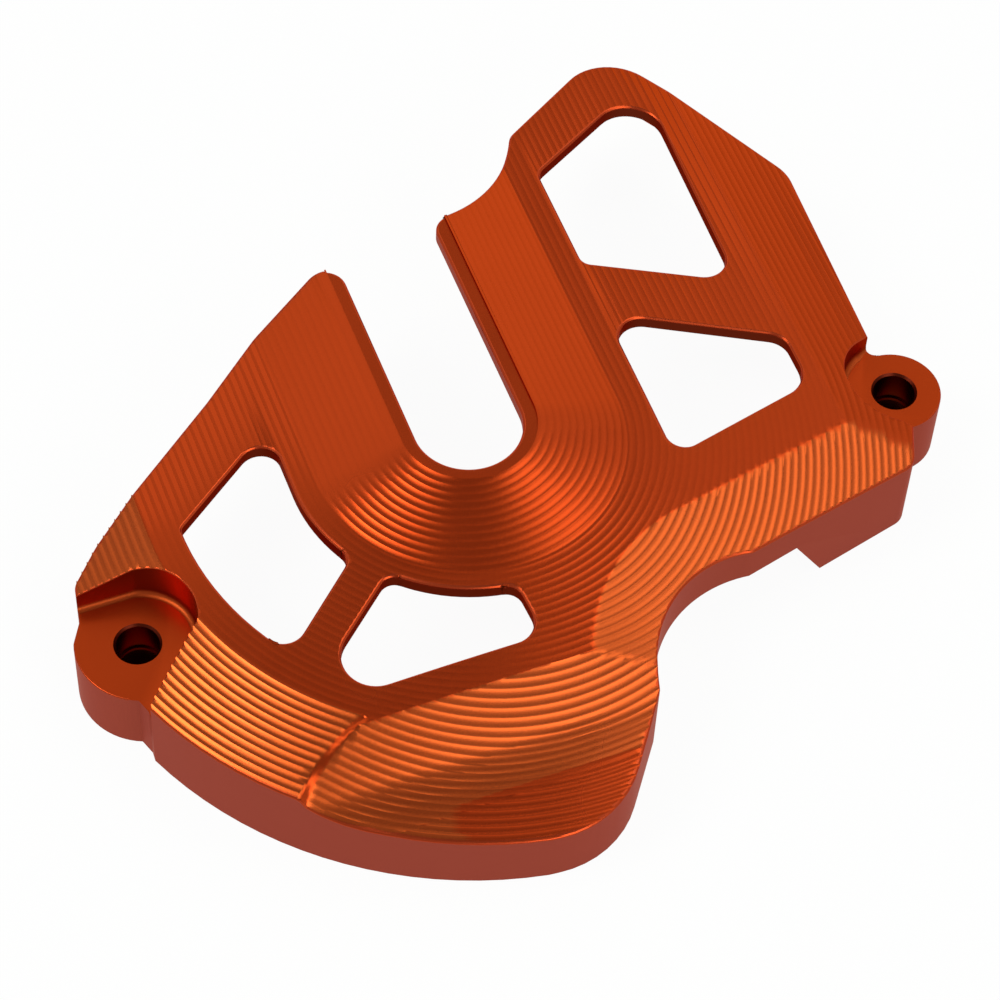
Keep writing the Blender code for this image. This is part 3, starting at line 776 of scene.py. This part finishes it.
def right_pocket_outline(inset=0.0):
    swing = arc(RIGHT_POCKET_CENTRE, RIGHT_POCKET_RADIUS - inset, 248, 112)
    return [*swing, (0.0695, 0.0022), (0.0850, 0.0030), (0.0850, -0.0210), (0.0690, -0.0180)]


def pocket(name, outline_at):
    """End-milled pocket whose wall runs into its floor in a small round."""
    steps = range(POCKET_ROUND_STEPS + 1)
    turns = [math.radians(90 * k / POCKET_ROUND_STEPS) for k in steps]
    rings = [
        (
            outline_at(POCKET_ROUND * (1 - math.sin(turn))),
            LUG_HEIGHT + POCKET_ROUND * (1 - math.cos(turn)),
        )
        for turn in turns
    ]
    rings.append((outline_at(), CLEAR_HEIGHT + SPARE))
    return loft(name, rings, pocket_finish, lug_finish)


def turned_bore(name, centre, profile):
    """Solid of revolution upright at centre, from (radius, height) pairs, ends closed."""
    rings = [(arc(centre, radius, 0, 350, 10), height) for radius, height in profile]
    return loft(name, rings, bore_shade_finish)


step_height = LUG_HEIGHT - TAPPED_DEPTH
thread_turns = int(step_height / THREAD_PITCH)
thread = [
    (TAPPED_RADIUS - THREAD_DEPTH * (k % 2), (0.5 + k / 2) * THREAD_PITCH)
    for k in range(2 * thread_turns - 1)
]
bore_profile = [
    (TAPPED_RADIUS + BORE_CHAMFER, -SPARE),
    *thread,
    (TAPPED_RADIUS, step_height),
    (BOLT_RADIUS, step_height),
    (BOLT_RADIUS, LUG_HEIGHT - BORE_CHAMFER),
    (BOLT_RADIUS + 2 * BORE_CHAMFER, LUG_HEIGHT + BORE_CHAMFER),
    (BOLT_RADIUS + 2 * BORE_CHAMFER, LUG_HEIGHT + 2 * SPARE),
]
for name, outline_at in (("left", left_pocket_outline), ("right", right_pocket_outline)):
    around = outline_at()
    cut(blank, pocket(f"{name}_pocket", outline_at))
    cut(blank, rim_ribbon(f"{name}_pocket_rim", around, -turning(around), POCKET_RIM))
left_rim = arc(LEFT_LUG_CENTRE, LEFT_LUG_RADIUS, 240, 170, 5)
right_rim = arc(RIGHT_BOLT, RIGHT_LUG_RADIUS, 88, -66, 6)
cut(blank, rim_ribbon("left_lug_rim", left_rim, -1, POCKET_RIM, lug_level, False))
cut(blank, rim_ribbon("right_lug_rim", right_rim, -1, POCKET_RIM, lug_level, False))
cut(blank, turned_bore("left_bore", LEFT_BOLT, bore_profile))
cut(blank, turned_bore("right_bore", RIGHT_BOLT, bore_profile))

# Hollow back
# The back is pocketed out to an even plate with a skirt along the lower edge and a shallow rim
# along the arms. Beside the relieved corner the skirt stops short of the mounting plane.

PLATE = 0.0023
SKIRT = 0.0032
BOSS_WALL = 0.0022
RELIEF_HEIGHT = 0.0102
RELIEF_END_X = 0.0488
RELIEF_END_LEAN = 0.55
RIM_HEIGHT = 0.0110
RIM_START = 0.0030
SLOT_SIDE_TOP = 0.045
HUB_ROWS = (0.0140, 0.0040)
PLATEAU_ROWS = (0.0290, 0.0043)
HOLLOW_STEP_DEG = 5.0
BELOW = -0.005
FAR = 0.13
SHARP_DEG = 19


def cavity_outline():
    """Plan of the hollow: inside the skirt, the lugs and the arms' rims."""
    return rounded([
        *arc(LEFT_LUG_CENTRE, LEFT_LUG_RADIUS, 70, -72, 6),
        *arc(OUTER_CENTRE, OUTER_RADIUS - SKIRT, 206, 253),
        (0.0028, -0.0600, 0.0060),
        *arc(RELIEF_CENTRE, RELIEF_RADIUS + SKIRT, 168, 84, 4),
        (0.0600, -0.0214, 0.0030),
        *arc(RIGHT_POCKET_CENTRE, RIGHT_POCKET_RADIUS + BOSS_WALL, 228, 112, 5),
        (0.0666, 0.0364, 0.0030),
        (0.0495, 0.0646, 0.0050),
        *arc(SWEEP_CENTRE, SWEEP_RADIUS + SKIRT, -23, -62, 4),
        (SLOT_RADIUS + 0.005, SLOT_SIDE_TOP),
        (SLOT_RADIUS, SLOT_SIDE_TOP),
        (-0.0085, 0.0337),
        (-0.0227, 0.0261),
        (-0.0330, 0.0175),
        (-0.0540, 0.0012),
    ])


def relief_outline(height):
    """Plan at one height of the cut beside the relieved corner, which leans at its end."""
    end_x = RELIEF_END_X - height * RELIEF_END_LEAN
    outer = arc(RELIEF_CENTRE, RELIEF_RADIUS - 0.005, 75, 166)
    inner = arc(RELIEF_CENTRE, RELIEF_RADIUS + SKIRT + 0.0025, 172, 80)
    return [*outer, *inner, (end_x, -0.0240), (end_x, -0.0340)]


def plate_underside(x, y):
    """Underside of the plate, an even thickness below the face."""
    return np.minimum(face_height(x, y), ledge_height) - PLATE


hollow_rows = [
    SLOT_RADIUS - SPARE,
    LEDGE_EDGE,
    *np.arange(HUB_ROWS[0], HUB_FOOT, HUB_ROWS[1]),
    HUB_FOOT,
    *np.arange(PLATEAU_ROWS[0], FACE_REACH + 0.004, PLATEAU_ROWS[1]),
]
hollow = face_sheet("hollow", hollow_rows, HOLLOW_STEP_DEG, plate_underside)
hollow.data.materials.append(back_finish)
closed_down(hollow, BELOW)
cavity = prism("cavity", cavity_outline(), 2 * BELOW, CLEAR_HEIGHT, back_finish)
cut(hollow, cavity, "INTERSECT")
cut(blank, hollow)
relief = [(relief_outline(height), height) for height in (BELOW, RELIEF_HEIGHT)]
cut(blank, loft("relief", relief, side_finish))
arms = [(-FAR, RIM_START), (FAR, RIM_START), (FAR, FAR), (-FAR, FAR)]
cut(blank, prism("arms_relief", arms, BELOW, RIM_HEIGHT, side_finish))
cut(cover, blank, "INTERSECT")

cover.data.shade_smooth()
cover.data.set_sharp_from_angle(angle=math.radians(SHARP_DEG))
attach(cover, "root")
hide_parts("sprocket_cover")

# Floor
# The cover lies on a large sheet of matt white board. The board is seen as nearly plain
# white, and it keeps the cover's faint shadow.

FLOOR_WHITE = (0.80, 0.80, 0.80)
GLOW_SHARE = 0.95
FLOOR_REACH = 2.0
FLOOR_LEVEL = -0.0001


def seen_share(tree):
    """1 for what is seen straight on, in a reflection or through something, 0 for light."""
    path = tree.nodes.new("ShaderNodeLightPath")
    share = path.outputs["Is Camera Ray"]
    for ray in ("Is Glossy Ray", "Is Transmission Ray"):
        share = math_node(tree, "MAXIMUM", share, path.outputs[ray])
    return share


def board_finish():
    """Matt board that mostly glows white where it is seen, and still takes a faint shadow."""
    material = bpy.data.materials.new("white_board")
    material.use_nodes = True
    tree = material.node_tree
    nodes, link = tree.nodes, tree.links.new
    shader = nodes["Principled BSDF"]
    shader.inputs["Base Color"].default_value = (*FLOOR_WHITE, 1)
    shader.inputs["Roughness"].default_value = 0.9
    shader.inputs["Specular IOR Level"].default_value = 0.1
    glow = nodes.new("ShaderNodeEmission")
    glow.inputs["Color"].default_value = (1, 1, 1, 1)
    mixed = nodes.new("ShaderNodeMixShader")
    link(math_node(tree, "MULTIPLY", seen_share(tree), GLOW_SHARE), mixed.inputs["Fac"])
    link(shader.outputs["BSDF"], mixed.inputs[1])
    link(glow.outputs["Emission"], mixed.inputs[2])
    link(mixed.outputs["Shader"], nodes["Material Output"].inputs["Surface"])
    return material


board = bmesh.new()
board.faces.new([
    board.verts.new((x * FLOOR_REACH, y * FLOOR_REACH, FLOOR_LEVEL))
    for x, y in ((-1, -1), (1, -1), (1, 1), (-1, 1))
])
floor = finished("floor", board, board_finish())

# Studio light
# A strong soft box stands at the left, broader and weaker ones from the front right round to
# the back. It is dim overhead and in front, so the slopes that face the camera stay dark.

CAMERA_LEAN = math.atan2(0.39553, 0.91846)
BOX_DISTANCE = 1.2
BOX_WHITE = (0.94, 1.0, 0.92)
FILL_LIGHT = 0.25
BACKDROP_STOPS = ((0.10, 1.0), (0.40, 0.56), (0.84, 0.56), (0.95, 0.38))


def soft_box(name, turn_deg, lift_deg, width, height, brightness):
    """Area light round the cover; turn is from the camera's own side, positive to its right."""
    turn = math.radians(turn_deg)
    lift = math.radians(lift_deg)
    across = math.sin(turn) * math.cos(lift) * BOX_DISTANCE
    toward = math.cos(turn) * math.cos(lift) * BOX_DISTANCE
    place = Vector((
        across * math.cos(CAMERA_LEAN) - toward * math.sin(CAMERA_LEAN),
        -across * math.sin(CAMERA_LEAN) - toward * math.cos(CAMERA_LEAN),
        math.sin(lift) * BOX_DISTANCE,
    ))
    lamp = bpy.data.lights.new(name, "AREA")
    lamp.color = BOX_WHITE
    lamp.shape = "RECTANGLE"
    lamp.size = width
    lamp.size_y = height
    lamp.energy = brightness * math.pi * width * height
    item = bpy.data.objects.new(name, lamp)
    bpy.context.collection.objects.link(item)
    item.location = place
    item.rotation_euler = (-place).to_track_quat("-Z", "Y").to_euler()


for name, turn_deg, lift_deg, width, height, brightness in (
    ("left_box", -72, 47, 0.50, 0.50, 7.8),
    ("left_high_box", -72, 64, 0.60, 0.35, 2.4),
    ("front_right_box", 35, 32, 0.65, 0.50, 3.8),
    ("right_box", 72, 42, 0.65, 0.50, 2.1),
    ("right_rear_box", 108, 46, 0.65, 0.50, 0.5),
    ("rear_high_box", 120, 64, 0.60, 0.40, 2.7),
    ("back_right_box", 145, 40, 0.70, 0.60, 0.5),
    ("back_box", 180, 26, 1.10, 0.60, 0.6),
    ("back_left_box", -145, 44, 0.70, 0.60, 0.8),
):
    soft_box(name, turn_deg, lift_deg, width, height, brightness)


def studio_world():
    """White backdrop up to a low height and a dark ceiling above it, and even fill light."""
    world = bpy.data.worlds.new("studio")
    world.use_nodes = True
    tree = world.node_tree
    nodes, link = tree.nodes, tree.links.new
    fill = nodes["Background"]
    fill.inputs["Color"].default_value = (1, 1, 1, 1)
    fill.inputs["Strength"].default_value = FILL_LIGHT
    backdrop = nodes.new("ShaderNodeBackground")
    way = nodes.new("ShaderNodeTexCoord")
    parts = nodes.new("ShaderNodeSeparateXYZ")
    height = nodes.new("ShaderNodeValToRGB")
    stops = height.color_ramp.elements
    for place, _ in BACKDROP_STOPS[1:-1]:
        stops.new(place)
    for stop, (place, grey) in zip(stops, BACKDROP_STOPS):
        stop.position = place
        stop.color = (grey, grey, grey, 1)
    link(way.outputs["Generated"], parts.inputs["Vector"])
    link(parts.outputs["Z"], height.inputs["Fac"])
    link(height.outputs["Color"], backdrop.inputs["Color"])
    mixed = nodes.new("ShaderNodeMixShader")
    link(seen_share(tree), mixed.inputs["Fac"])
    link(fill.outputs["Background"], mixed.inputs[1])
    link(backdrop.outputs["Background"], mixed.inputs[2])
    link(mixed.outputs["Shader"], nodes["World Output"].inputs["Surface"])
    return world


bpy.context.scene.world = studio_world()

# Camera
# A long lens about half a metre away, looking down at the face from in front of the slot's
# closed end. The three directions are the frame's right, its top and straight ahead.

CAMERA_AT = (-0.11836, -0.28873, 0.44735)
CAMERA_RIGHT = (0.934582, -0.354380, 0.031173)
CAMERA_UP = (0.273077, 0.770796, 0.575589)
CAMERA_AHEAD = (0.228005, 0.529422, -0.817145)
SENSOR_WIDTH = 36
LENS_SHARE = 3.48

lens = bpy.data.cameras.new("camera")
lens.sensor_width = SENSOR_WIDTH
lens.lens = SENSOR_WIDTH * LENS_SHARE
lens.clip_start = 0.01
camera = bpy.data.objects.new("camera", lens)
bpy.context.collection.objects.link(camera)
columns = Matrix((CAMERA_RIGHT, CAMERA_UP, [-value for value in CAMERA_AHEAD])).transposed()
camera.matrix_world = Matrix.Translation(CAMERA_AT) @ columns.to_4x4()
bpy.context.scene.camera = camera
bpy.context.scene.view_settings.view_transform = "Standard"
